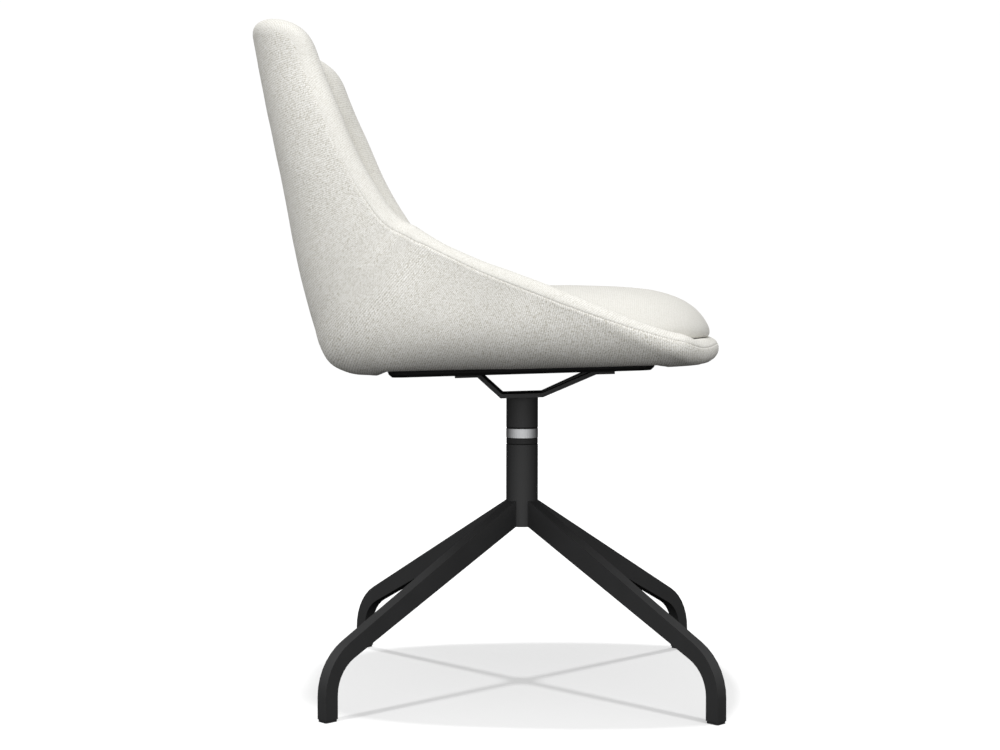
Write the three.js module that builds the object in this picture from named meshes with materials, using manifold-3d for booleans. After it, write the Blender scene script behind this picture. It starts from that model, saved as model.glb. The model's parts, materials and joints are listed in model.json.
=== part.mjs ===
// Swivel dining chair: an upholstered bucket shell with a domed seat cushion,
// carried by a bent steel bracket on a swivel column with four bent legs.
// Millimetres, +Z up. The chair faces -Y and is mirrored about X = 0.
// The origin is at the bottom centre of the chair's bounding box.

import * as THREE from 'three';
import { mergeVertices } from 'three/addons/utils/BufferGeometryUtils.js';
import Module from 'manifold-3d';

const wasm = await Module();
wasm.setup();

// ---------------------------------------------------------------- dimensions
const GAP = 0.3;                 // clearance between touching pieces
const AXIS_Y = -40.5;            // Y of the swivel axis, the rest is centred

// column and swivel, heights above the floor
const COLUMN_R = 19;             // 38 mm column tube
const COLUMN_WALL = 2;
const COLUMN_Z0 = 187.3, COLUMN_Z1 = 285.6;
const FLANGE_Z0 = 286.2, FLANGE_Z1 = 292.6, FLANGE_R = 18.8;
const RING_Z0 = 292.9, RING_Z1 = 304.0;      // bright trim ring
const WASHER_Z0 = 304.3, WASHER_Z1 = 305.3, WASHER_R = 18.6;
const SLEEVE_Z0 = 305.6;
const SPINDLE_R = 11;
const SPINDLE_Z0 = 204;
const BORE_R = 11.1;             // running bore of the two bushes
const CLEAR_R = 11.6;            // loose bore of the ring and the washer

// legs
const LEG_W = 14.5;              // tangential width
const FOOT_R = 303.3;            // outer face of the foot
const FOOT_IN = 286.9;           // inner face of the foot
const LEG_TOP_Z = 218.0, LEG_TOP_SLOPE = 0.538;
const LEG_BOT_Z = 186.6, LEG_BOT_SLOPE = 0.495;
const LEG_TOP_BEND = 64, LEG_BOT_BEND = 42;
const GLIDE_T = 2.2;             // plastic pad under the foot
const GLIDE_STEM_R = 3.6, GLIDE_STEM_H = 9;

// seat assembly, leaning back
const LEAN = THREE.MathUtils.degToRad(1.8);
const TILT_Z = 342.1;            // underside of the bracket at the axis
const BRACKET_T = 5;
const BRACKET_W = 45;            // half width of the middle plate
const BOARD_Q = 30.6;            // underside of the board above TILT_Z
const BOARD_T = 7.5;
const BOARD_LEN = 150, BOARD_HALF_W = 150;

// upholstered shell
const CORE_T = 9;                // moulded core
const EDGE_D = 13;               // width of the edge roll, from its rim
const TOP_CORNER = 100;          // length over which the top corners round
const TOP_SQUARE = 3.2;          // exponent of the top corners, 2 is an ellipse
const FRONT_CORNER = 65;
// one row per station along the middle of the shell, from the top edge of the
// back, down and forward to the nose of the seat:
// forward, height, direction of the wings (deg), half width and depth of the
// wings, angle at the rim (deg), where the bend starts and ends, half thickness
const STATIONS = [
  [-296.0, 775.4, 11.5, 143.1,  62.4, 82, 0.24, 1.00, 19.0],
  [-294.4, 768.0, 11.5, 145.0,  64.2, 82, 0.24, 1.00, 19.0],
  [-281.4, 704.1, 11.5, 154.0,  61.0, 84, 0.25, 1.00, 19.0],
  [-267.8, 647.4, 13.0, 172.3,  69.6, 84, 0.27, 1.00, 19.0],
  [-255.7, 590.7, 17.0, 184.2,  80.3, 85, 0.28, 1.00, 19.0],
  [-244.7, 533.8, 25.0, 191.8,  97.3, 86, 0.30, 1.00, 18.5],
  [-232.3, 476.1, 36.0, 198.6, 119.4, 86, 0.33, 0.98, 17.5],
  [-226.1, 448.5, 41.0, 202.0, 135.1, 86, 0.33, 0.96, 16.5],
  [-220.2, 426.5, 44.4, 206.5, 150.2, 85.5, 0.33, 0.95, 15.6],
  [-214.8, 406.9, 47.5, 209.1, 162.2, 85, 0.34, 0.94, 15.0],
  [-206.4, 393.2, 49.6, 211.9, 168.4, 84.5, 0.37, 0.94, 14.5],
  [-191.0, 386.4, 49.8, 215.9, 166.3, 84, 0.41, 0.93, 14.2],
  [-165.0, 385.2, 50.4, 220.0, 155.5, 84, 0.46, 0.90, 14.0],
  [-110.0, 387.0, 54.4, 225.0, 129.0, 85, 0.51, 0.86, 14.0],
  [ -50.0, 390.2, 63.9, 227.5, 101.6, 86, 0.52, 0.86, 14.0],
  [  20.0, 393.0, 74.6, 229.0,  74.0, 85, 0.60, 0.92, 14.0],
  [  80.0, 394.6, 76.5, 228.0,  50.0, 72, 0.70, 0.97, 14.2],
  [ 125.0, 395.8, 77.8, 225.5,  31.2, 52, 0.76, 1.00, 14.2],
  [ 165.0, 396.2, 76.8, 219.0,  16.4, 30.4, 0.76, 1.00, 14.3],
  [ 200.0, 398.7, 75.0, 209.0,   5.6, 12, 0.70, 1.00, 14.0],
  [ 230.0, 403.6, 75.0, 196.0,   1.3,  5, 0.60, 1.00, 13.4],
];
const SIDE_ROWS = [100, 150, 200, 243, 280, 311, 337, 357, 372, 386, 400, 417,
  441, 475, 518, 566, 616, 665, 708, 742, 768];

// ---------------------------------------------------------------- materials
const COLOURS = {
  black_metal: [0x1b1c1d, 0.42, 0.85],
  black_plastic: [0x141414, 0.6, 0],
  aluminium: [0xc4c6c8, 0.32, 1],
  steel: [0x8d9194, 0.35, 1],
  nylon: [0xd9d6cc, 0.55, 0],
  board: [0x0c0c0c, 0.8, 0],
  core: [0xb98f5e, 0.6, 0],
  fabric: [0xdcd9d0, 0.95, 0],
};
function material(name) {
  const [color, roughness, metalness] = COLOURS[name];
  return new THREE.MeshStandardMaterial({ color, roughness, metalness });
}

// ---------------------------------------------------------------- solids
function build(points, faces) {
  const pos = new Float32Array(points.length * 3);
  points.forEach((p, i) => { pos[3 * i] = p[0]; pos[3 * i + 1] = p[1]; pos[3 * i + 2] = p[2]; });
  const index = [];
  for (const f of faces) {
    for (let k = 1; k + 1 < f.length; k++) {
      const t = [f[0], f[k], f[k + 1]];
      if (t[0] !== t[1] && t[1] !== t[2] && t[0] !== t[2]) index.push(...t);
    }
  }
  let vol = 0;
  for (let i = 0; i < index.length; i += 3) {
    const [a, b, c] = [points[index[i]], points[index[i + 1]], points[index[i + 2]]];
    vol += a[0] * (b[1] * c[2] - b[2] * c[1]) - a[1] * (b[0] * c[2] - b[2] * c[0]) + a[2] * (b[0] * c[1] - b[1] * c[0]);
  }
  if (vol < 0) {
    for (let i = 0; i < index.length; i += 3) [index[i + 1], index[i + 2]] = [index[i + 2], index[i + 1]];
  }
  const g = new THREE.BufferGeometry();
  g.setAttribute('position', new THREE.BufferAttribute(pos, 3));
  g.setIndex(index);
  return g;
}

function toManifold(geometry) {
  let g = geometry.clone();
  g.deleteAttribute('normal');
  g.deleteAttribute('uv');
  g = mergeVertices(g, 1e-4);
  return new wasm.Manifold(new wasm.Mesh({
    numProp: 3,
    vertProperties: new Float32Array(g.attributes.position.array),
    triVerts: new Uint32Array(g.index.array),
  }));
}

function fromManifold(solid) {
  const m = solid.getMesh();
  const n = m.numProp;
  const pos = new Float32Array((m.vertProperties.length / n) * 3);
  for (let i = 0; i < pos.length / 3; i++) {
    for (let k = 0; k < 3; k++) pos[3 * i + k] = m.vertProperties[n * i + k];
  }
  const g = new THREE.BufferGeometry();
  g.setAttribute('position', new THREE.BufferAttribute(pos, 3));
  g.setIndex(Array.from(m.triVerts));
  return g;
}

function subtract(geometry, ...cutters) {
  let solid = toManifold(geometry);
  for (const c of cutters) solid = solid.subtract(toManifold(c));
  return fromManifold(solid);
}

function join(...geometries) {
  let solid = toManifold(geometries[0]);
  for (const g of geometries.slice(1)) solid = solid.add(toManifold(g));
  return fromManifold(solid);
}

// a turned piece about Z; the profile is radius, height pairs
function turned(profile, segments = 32) {
  const g = new THREE.LatheGeometry(profile.map(([r, z]) => new THREE.Vector2(r, z)), segments);
  g.rotateX(Math.PI / 2);
  let out = g.clone();
  out.deleteAttribute('normal');
  out.deleteAttribute('uv');
  out = mergeVertices(out, 1e-4);
  const pts = [];
  const p = out.attributes.position;
  for (let i = 0; i < p.count; i++) pts.push([p.getX(i), p.getY(i), p.getZ(i)]);
  const faces = [];
  for (let i = 0; i < out.index.count; i += 3) faces.push([out.index.getX(i), out.index.getX(i + 1), out.index.getX(i + 2)]);
  return build(pts, faces);
}
const tube = (r0, r1, z0, z1, segments = 32, c = 0.5) => turned([
  [r0, z0], [r1 - c, z0], [r1, z0 + c], [r1, z1 - c], [r1 - c, z1], [r0, z1], [r0, z0]], segments);
const rod = (r, z0, z1, segments = 32, c = 0.5) => turned([
  [0, z0], [r - c, z0], [r, z0 + c], [r, z1 - c], [r - c, z1], [0, z1]], segments);

// ---------------------------------------------------------------- shell surface
// piecewise cubic through the stations, by the length along the middle line
const STATION_S = [0];
for (let i = 1; i < STATIONS.length; i++) {
  STATION_S.push(STATION_S[i - 1] + Math.hypot(STATIONS[i][0] - STATIONS[i - 1][0], STATIONS[i][1] - STATIONS[i - 1][1]));
}
const S_END = STATION_S[STATION_S.length - 1];

function slope(col, i) {
  const n = STATIONS.length - 1;
  const a = Math.max(0, i - 1), b = Math.min(n, i + 1);
  if (i === 0 || i === n) return (STATIONS[b][col] - STATIONS[a][col]) / (STATION_S[b] - STATION_S[a]);
  const h0 = STATION_S[i] - STATION_S[i - 1], h1 = STATION_S[i + 1] - STATION_S[i];
  const d0 = (STATIONS[i][col] - STATIONS[i - 1][col]) / h0, d1 = (STATIONS[i + 1][col] - STATIONS[i][col]) / h1;
  return (d0 * h1 + d1 * h0) / (h0 + h1);
}

function station(s) {
  const n = STATIONS.length - 1;
  let i = 0;
  while (i < n - 1 && s > STATION_S[i + 1]) i++;
  const h = STATION_S[i + 1] - STATION_S[i];
  const t = (s - STATION_S[i]) / h;
  return STATIONS[0].map((_, c) => {
    const p0 = STATIONS[i][c], p1 = STATIONS[i + 1][c];
    const m0 = slope(c, i) * h, m1 = slope(c, i + 1) * h;
    const t2 = t * t, t3 = t2 * t;
    return (2 * t3 - 3 * t2 + 1) * p0 + (t3 - 2 * t2 + t) * m0 + (-2 * t3 + 3 * t2) * p1 + (t3 - t2) * m1;
  });
}

const SECTION_STEPS = 60;
const smooth = (x) => { const c = Math.min(1, Math.max(0, x)); return c * c * (3 - 2 * c); };

// the half section of the middle surface at s: across, depth and length tables
function section(s) {
  const [cu, cz, dir, a, depth, rim, t0, t1, half] = station(s);
  const xs = [0], gs = [0];
  for (let k = 0; k < SECTION_STEPS; k++) {
    const tau = (k + 0.5) / SECTION_STEPS;
    const psi = THREE.MathUtils.degToRad(rim) * smooth((tau - t0) / (t1 - t0));
    xs.push(xs[k] + Math.cos(psi));
    gs.push(gs[k] + Math.sin(psi));
  }
  const kx = a / xs[SECTION_STEPS], kg = depth / gs[SECTION_STEPS];
  let length = 0;
  const ls = [0];
  for (let k = 1; k <= SECTION_STEPS; k++) {
    xs[k] *= kx;
    gs[k] *= kg;
    length += Math.hypot(xs[k] - xs[k - 1], gs[k] - gs[k - 1]);
    ls.push(length);
  }
  const d = THREE.MathUtils.degToRad(dir);
  return { cu, cz, du: Math.cos(d), dz: Math.sin(d), xs, gs, ls, length, half };
}

// a point of the middle surface, w = length across from the middle (signed)
function middle(s, w) {
  const q = section(s);
  const aw = Math.abs(w);
  let x, g;
  if (aw >= q.length) {
    const n = SECTION_STEPS, l = q.ls[n] - q.ls[n - 1];
    x = q.xs[n] + (q.xs[n] - q.xs[n - 1]) / l * (aw - q.length);
    g = q.gs[n] + (q.gs[n] - q.gs[n - 1]) / l * (aw - q.length);
  } else {
    let k = 0;
    while (k < SECTION_STEPS - 1 && q.ls[k + 1] < aw) k++;
    const f = (aw - q.ls[k]) / (q.ls[k + 1] - q.ls[k]);
    x = q.xs[k] + (q.xs[k + 1] - q.xs[k]) * f;
    g = q.gs[k] + (q.gs[k + 1] - q.gs[k]) * f;
  }
  return [Math.sign(w) * x, q.cu + g * q.du, q.cz + g * q.dz];
}

function normal(s, w) {
  const e = 1.5;
  const s0 = Math.max(0, s - e), s1 = Math.min(S_END, s + e);
  const a = middle(s0, w), b = middle(s1, w), c = middle(s, w - e), d = middle(s, w + e);
  const p = new THREE.Vector3(b[0] - a[0], b[1] - a[1], b[2] - a[2]);
  const q = new THREE.Vector3(d[0] - c[0], d[1] - c[1], d[2] - c[2]);
  const n = q.cross(p).normalize();
  return [n.x, n.y, n.z];                    // towards the sitter
}

// the rim of the shell: half loop from the top middle to the nose middle
function rimPoint(kind, v) {
  if (kind === 'top') {
    const s = TOP_CORNER * (1 - Math.cos(v) ** (2 / TOP_SQUARE));
    return [s, section(s).length * Math.sin(v) ** (2 / TOP_SQUARE)];
  }
  if (kind === 'front') {
    const s = S_END - FRONT_CORNER * (1 - Math.sin(v));
    return [s, section(s).length * Math.cos(v)];
  }
  return [v, section(v).length];
}
const TOP_STEPS = 7, FRONT_STEPS = 6;
const halfLoop = [];
for (let i = 0; i < TOP_STEPS; i++) halfLoop.push({ p: rimPoint('top', (i / TOP_STEPS) ** 1.35 * Math.PI / 2), spine: TOP_CORNER });
for (const s of SIDE_ROWS) halfLoop.push({ p: rimPoint('side', s), spine: s });
for (let i = 1; i <= FRONT_STEPS; i++) halfLoop.push({ p: rimPoint('front', (i / FRONT_STEPS) * Math.PI / 2), spine: S_END - FRONT_CORNER });
// inward normals of the rim, in the flat (length along, length across) plane
halfLoop.forEach((h, i) => {
  const a = halfLoop[Math.max(0, i - 1)].p, b = halfLoop[Math.min(halfLoop.length - 1, i + 1)].p;
  let t = [b[0] - a[0], b[1] - a[1]];
  if (i === 0) t = [0, 1];
  if (i === halfLoop.length - 1) t = [0, -1];
  const l = Math.hypot(t[0], t[1]);
  h.n = [t[1] / l, -t[0] / l];
});

// rings of (s, w) from the rim inwards; w stays positive here
function ringPoint(h, ring) {
  if (ring.d !== undefined) return [h.p[0] + h.n[0] * ring.d, h.p[1] + h.n[1] * ring.d];
  const a = [h.p[0] + h.n[0] * ring.from, h.p[1] + h.n[1] * ring.from];
  return [a[0] + (h.spine - a[0]) * ring.f, a[1] * (1 - ring.f)];
}
// half thickness of the padding at a distance from the rim
function padding(s, d) {
  const r = station(Math.min(S_END, Math.max(0, s)))[8];
  if (d >= r) return r;
  return r * Math.sqrt(Math.max(0, 1 - (1 - d / r) ** 2));
}

const N_HALF = halfLoop.length;             // points of the half loop
const LOOP = 2 * (N_HALF - 1);              // points of the whole loop
function loopPoint(j, ring) {
  const right = j < N_HALF;
  const h = halfLoop[right ? j : LOOP - j];
  const [s, w] = ringPoint(h, ring);
  const d = ring.d !== undefined ? ring.d : ring.from + ring.f * 200;
  return { s, w: right ? w : -w, d };
}
function place(q, offset) {                  // chair frame: x, -forward, height
  const m = middle(q.s, q.w);
  const n = normal(q.s, Math.abs(q.w) < 1e-6 ? 0 : q.w);
  return [m[0] + n[0] * offset, -(m[1] + n[1] * offset), m[2] + n[2] * offset];
}

const FAR = 24;
const COVER_RINGS = [{ d: EDGE_D + GAP + 0.1 }, { d: FAR },
  { from: FAR, f: 0.2 }, { from: FAR, f: 0.42 }, { from: FAR, f: 0.7 }, { from: FAR, f: 1 }];

// a layer of the shell between two offsets, each a function of the ring point
function layer(rings, low, high) {
  const pts = [], faces = [];
  const grid = (offset) => {
    const rows = [];
    rings.forEach((ring, i) => {
      const row = [];
      for (let j = 0; j < LOOP; j++) {
        const spine = ring.f === 1;
        const mirror = j >= N_HALF ? LOOP - j : j;
        if (spine && j >= N_HALF) { row.push(row[mirror]); continue; }
        if (spine && j > 0) {
          const a = halfLoop[j], b = halfLoop[j - 1];
          if (a.spine === b.spine) { row.push(row[j - 1]); continue; }
        }
        const q = loopPoint(j, ring);
        pts.push(place(q, offset(q)));
        row.push(pts.length - 1);
      }
      rows.push(row);
    });
    return rows;
  };
  const a = grid(low), b = grid(high);
  for (let i = 0; i + 1 < rings.length; i++) {
    for (let j = 0; j < LOOP; j++) {
      const k = (j + 1) % LOOP;
      if (j < N_HALF - 1) {                    // the halves mirror each other's diagonals
        faces.push([a[i][k], a[i + 1][k], a[i + 1][j]], [a[i][k], a[i + 1][j], a[i][j]]);
        faces.push([b[i][k], b[i + 1][j], b[i + 1][k]], [b[i][k], b[i][j], b[i + 1][j]]);
      } else {
        faces.push([a[i][j], a[i][k], a[i + 1][k]], [a[i][j], a[i + 1][k], a[i + 1][j]]);
        faces.push([b[i][j], b[i + 1][k], b[i][k]], [b[i][j], b[i + 1][j], b[i + 1][k]]);
      }
    }
  }
  for (let j = 0; j < LOOP; j++) {
    const k = (j + 1) % LOOP;
    if (j < N_HALF - 1) faces.push([a[0][j], b[0][j], a[0][k]], [a[0][k], b[0][j], b[0][k]]);
    else faces.push([a[0][j], b[0][k], a[0][k]], [a[0][j], b[0][j], b[0][k]]);
  }
  return build(pts, faces);
}

function edgeRoll() {
  const pts = [], faces = [], rows = [];
  for (let j = 0; j < LOOP; j++) {
    const row = [];
    const r = station(Math.min(S_END, Math.max(0, loopPoint(j, { d: 0 }).s)))[8];
    const flank = (CORE_T + GAP) / 2;          // the inner wall steps where the layers meet it
    const steps = [[0, 0], [0.09 * r, -1], [0.36 * r, -1], [EDGE_D, -1], [EDGE_D, -1, flank], [EDGE_D, 1, flank],
      [EDGE_D, 1], [0.36 * r, 1], [0.09 * r, 1]];
    for (const [d, side, offset] of steps) {
      const q = loopPoint(j, { d });
      pts.push(place(q, side * (offset ?? padding(q.s, d))));
      row.push(pts.length - 1);
    }
    rows.push(row);
  }
  for (let j = 0; j < LOOP; j++) {
    const a = rows[j], b = rows[(j + 1) % LOOP];
    for (let i = 0; i < a.length; i++) {
      const k = (i + 1) % a.length;
      if (j < N_HALF - 1) faces.push([a[i], b[i], a[k]], [a[k], b[i], b[k]]);
      else faces.push([a[i], b[i], b[k]], [a[i], b[k], a[k]]);
    }
  }
  return build(pts, faces);
}

// ---------------------------------------------------------------- assembly
const chair = new THREE.Group();
const base = new THREE.Group();
const seat = new THREE.Group();
base.position.y = AXIS_Y;
seat.position.y = AXIS_Y;
chair.add(base, seat);
const tilted = new THREE.Group();            // the bracket and what it is bolted to
tilted.position.z = TILT_Z;
tilted.rotation.x = -LEAN;
seat.add(tilted);

function add(parent, name, geometry, finish) {
  const mesh = new THREE.Mesh(geometry, material(finish));
  mesh.name = name;
  parent.add(mesh);
  return mesh;
}

// ---- column
const columnCut = rod(COLUMN_R + GAP + 0.1, 150, 330, 40, 0.01);
add(base, 'column_tube', tube(COLUMN_R - COLUMN_WALL, COLUMN_R, COLUMN_Z0, COLUMN_Z1, 40, 0.6), 'black_metal');
add(base, 'column_end_cap', rod(COLUMN_R - COLUMN_WALL - GAP, COLUMN_Z0 + 0.2, COLUMN_Z0 + 5, 28, 0.6), 'black_plastic');
add(base, 'lower_bush', tube(BORE_R, COLUMN_R - COLUMN_WALL - GAP, 212, 230, 40, 0.5), 'nylon');
add(base, 'flange_bush', turned([
  [BORE_R, 262], [16.7, 262], [16.7, FLANGE_Z0], [FLANGE_R, FLANGE_Z0],
  [FLANGE_R, FLANGE_Z1 - 0.5], [FLANGE_R - 0.5, FLANGE_Z1], [BORE_R, FLANGE_Z1], [BORE_R, 262]], 40), 'black_plastic');
add(base, 'trim_ring', tube(CLEAR_R, COLUMN_R, RING_Z0, RING_Z1, 40, 0.15), 'aluminium');
add(base, 'thrust_washer', tube(CLEAR_R, WASHER_R, WASHER_Z0, WASHER_Z1, 32, 0.15), 'nylon');

// ---- legs and glides
const legShape = () => {
  const slopeTop = Math.atan(LEG_TOP_SLOPE), slopeBot = Math.atan(LEG_BOT_SLOPE);
  const corner = (z0, m, r) => z0 - m * (r - COLUMN_R);
  const pts = [];
  const inner = 10;
  pts.push([inner, corner(LEG_TOP_Z, LEG_TOP_SLOPE, inner)]);
  const arc = (r, z0, m, rad, angle, reverse) => {
    const cornerZ = corner(z0, m, r);
    const t = rad * Math.tan((Math.PI / 2 - angle) / 2);
    const c = [r - rad, cornerZ - t];
    const out = [];
    const n = 7;
    for (let i = 0; i <= n; i++) {
      const q = (Math.PI / 2 - angle) * (1 - i / n);
      out.push([c[0] + rad * Math.cos(q), c[1] + rad * Math.sin(q)]);
    }
    return reverse ? out.reverse() : out;
  };
  pts.push(...arc(FOOT_R, LEG_TOP_Z, LEG_TOP_SLOPE, LEG_TOP_BEND, slopeTop, false));
  pts.push([FOOT_R, GLIDE_T + GAP], [FOOT_IN, GLIDE_T + GAP]);
  pts.push(...arc(FOOT_IN, LEG_BOT_Z, LEG_BOT_SLOPE, LEG_BOT_BEND, slopeBot, true));
  pts.push([inner, corner(LEG_BOT_Z, LEG_BOT_SLOPE, inner)]);
  return pts;
};
function legGeometry() {
  const shape = new THREE.Shape(legShape().map(([r, z]) => new THREE.Vector2(r, z)));
  const g = new THREE.ExtrudeGeometry(shape, { depth: LEG_W, bevelEnabled: false });
  g.translate(0, 0, -LEG_W / 2);
  g.rotateX(Math.PI / 2);                    // radius along X, height along Z
  const footX = (FOOT_R + FOOT_IN) / 2;
  const stem = rod(GLIDE_STEM_R + 0.3, -5, GLIDE_T + GLIDE_STEM_H + 1, 16, 0.01);
  stem.translate(footX, 0, 0);
  return subtract(g, columnCut, stem);
}
function glideGeometry() {
  const footX = (FOOT_R + FOOT_IN) / 2;
  const w = LEG_W / 2 - 0.3, l = (FOOT_R - FOOT_IN) / 2 - 0.3, c = 1.2;
  const outline = [[-l + c, -w], [l - c, -w], [l, -w + c], [l, w - c], [l - c, w], [-l + c, w], [-l, w - c], [-l, -w + c]];
  const plate = new THREE.ExtrudeGeometry(new THREE.Shape(outline.map(([x, y]) => new THREE.Vector2(x, y))),
    { depth: GLIDE_T, bevelEnabled: false });
  const stem = rod(GLIDE_STEM_R, GLIDE_T - 1, GLIDE_T + GLIDE_STEM_H, 16, 0.6);
  const g = join(plate, stem);
  g.translate(footX, 0, 0);
  return g;
}
const legBody = legGeometry(), glideBody = glideGeometry();
for (const [side, deg] of [['front_left', -45], ['front_right', -135], ['rear_right', 135], ['rear_left', 45]]) {
  const arm = new THREE.Group();
  arm.rotation.z = THREE.MathUtils.degToRad(deg);
  base.add(arm);
  add(arm, `leg_${side}`, legBody.clone(), 'black_metal');
  add(arm, `glide_${side}`, glideBody.clone(), 'black_plastic');
}

// ---- spindle, its retaining washer and screw, and the upper sleeve
const spindleTop = TILT_Z - 1.6;
add(seat, 'spindle', turned([
  [0, SPINDLE_Z0 + 14], [2.9, SPINDLE_Z0 + 14], [2.9, SPINDLE_Z0], [SPINDLE_R - 0.6, SPINDLE_Z0], [SPINDLE_R, SPINDLE_Z0 + 0.6],
  [SPINDLE_R, spindleTop - 0.6], [SPINDLE_R - 0.6, spindleTop], [0, spindleTop]], 28), 'steel');
add(seat, 'retaining_washer', tube(2.9, 15.6, SPINDLE_Z0 - 2.3, SPINDLE_Z0 - 0.3, 24, 0.2), 'steel');
add(seat, 'retaining_screw', turned([
  [0, SPINDLE_Z0 - 6.2], [4.2, SPINDLE_Z0 - 6.2], [4.8, SPINDLE_Z0 - 5.6], [4.8, SPINDLE_Z0 - 2.6],
  [2.5, SPINDLE_Z0 - 2.6], [2.5, SPINDLE_Z0 + 13.4], [0, SPINDLE_Z0 + 13.4]], 16), 'steel');
{
  // the sleeve's top is cut at the lean of the seat
  const g = tube(15.5, COLUMN_R, SLEEVE_Z0, TILT_Z - GAP, 40, 0.2);
  const p = g.attributes.position;
  for (let i = 0; i < p.count; i++) {
    if (p.getZ(i) > 320) p.setZ(i, p.getZ(i) - Math.tan(LEAN) * p.getY(i));
  }
  add(seat, 'upper_sleeve', g, 'black_metal');
}

// ---- bracket, in the leaning frame: p forward (towards -Y), q up
// a flat bar with mitred bends; each node of its path is p, q of the underside
// and the x range there
function bar(path, thickness) {
  const pts = [], faces = [], n = path.length;
  const dirs = [];
  for (let i = 0; i + 1 < n; i++) {
    const d = [path[i + 1][0] - path[i][0], path[i + 1][1] - path[i][1]];
    const l = Math.hypot(d[0], d[1]);
    dirs.push([d[0] / l, d[1] / l]);
  }
  for (let i = 0; i < n; i++) {
    const a = dirs[Math.max(0, i - 1)], b = dirs[Math.min(n - 2, i)];
    const na = [-a[1], a[0]], nb = [-b[1], b[0]];
    const m = [na[0] + nb[0], na[1] + nb[1]];
    const l = Math.hypot(m[0], m[1]);
    const k = thickness / ((m[0] * na[0] + m[1] * na[1]) / l);
    const [p, q, x0, x1] = path[i];
    const tp = p + (m[0] / l) * k, tq = q + (m[1] / l) * k;
    pts.push([x0, -p, q], [x1, -p, q], [x1, -tp, tq], [x0, -tp, tq]);
  }
  for (let i = 0; i + 1 < n; i++) {
    const a = 4 * i, b = 4 * (i + 1);
    for (let k = 0; k < 4; k++) {
      const l = (k + 1) % 4;
      faces.push([a + k, b + k, b + l], [a + k, b + l, a + l]);
    }
  }
  faces.push([0, 1, 2, 3], [4 * (n - 1) + 3, 4 * (n - 1) + 2, 4 * (n - 1) + 1, 4 * (n - 1)]);
  return build(pts, faces);
}
const TAB_Q = BOARD_Q - GAP - BRACKET_T;     // underside of the tabs
const REAR_TAB = [-78, -51.6], FRONT_TAB = [86.5, 108];
const mainBar = bar([
  [REAR_TAB[0], TAB_Q, -BRACKET_W, BRACKET_W], [REAR_TAB[1], TAB_Q, -BRACKET_W, BRACKET_W],
  [-25.3, 0, -BRACKET_W, BRACKET_W], [24.6, 0, -BRACKET_W, BRACKET_W]], BRACKET_T);
const span = (side, a, b) => (side > 0 ? [a, b] : [-b, -a]);
const frontArm = (side) => bar([
  [18, 0, ...span(side, 10, 44.6)],
  [24.6, 0, ...span(side, 12, 45)],
  [FRONT_TAB[0], TAB_Q, ...span(side, 36, 63.5)],
  [FRONT_TAB[1], TAB_Q, ...span(side, 37, 64.5)]], BRACKET_T);

// ---- fasteners: countersunk bolts up through bracket and board into tee nuts
const BOLTS = [['rear_left', -65, 28], ['rear_right', -65, -28], ['front_left', 98, 50.5], ['front_right', 98, -50.5]];
const CORE_Q = 392.2 - CORE_T / 2 - TILT_Z;  // underside of the moulded core at the axis
const NUT_Q = CORE_Q + CORE_T + 0.6;         // underside of the tee nut's flange
const boltProfile = (grow) => [
  [0, TAB_Q - (grow ? 1 : 0)], [5.6 + grow, TAB_Q - (grow ? 1 : 0)], [5.6 + grow, TAB_Q + 0.7 + grow * 0.4],
  [3 + grow, TAB_Q + 3.3 + grow * 0.4], [3 + grow, NUT_Q + 1.2 + (grow ? 3 : 0)], [0, NUT_Q + 1.2 + (grow ? 3 : 0)]];
const nutProfile = (grow) => [
  [3.3 - (grow ? 3.3 : 0), NUT_Q - 8.5 - grow], [4 + grow, NUT_Q - 8.5 - grow], [4 + grow, NUT_Q - grow], [9.5 + grow, NUT_Q - grow],
  [9.5 + grow, NUT_Q + 1.5 + grow], [3.3 - (grow ? 3.3 : 0), NUT_Q + 1.5 + grow], ...(grow ? [] : [[3.3, NUT_Q - 8.5]])];
function at(geometry, p, x) { geometry.translate(x, -p, 0); return geometry; }
const boltHoles = () => BOLTS.map(([, p, x]) => at(turned(boltProfile(0.3), 12), p, x));
const nutHoles = () => BOLTS.map(([, p, x]) => at(turned(nutProfile(0.4), 12), p, x));

add(tilted, 'swivel_bracket', subtract(join(mainBar, frontArm(1), frontArm(-1)), ...boltHoles()), 'black_metal');
for (const [side, p, x] of BOLTS) {
  add(tilted, `bracket_bolt_${side}`, at(turned(boltProfile(0), 12), p, x), 'steel');
  add(tilted, `tee_nut_${side}`, at(turned(nutProfile(0), 12), p, x), 'steel');
}

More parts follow.
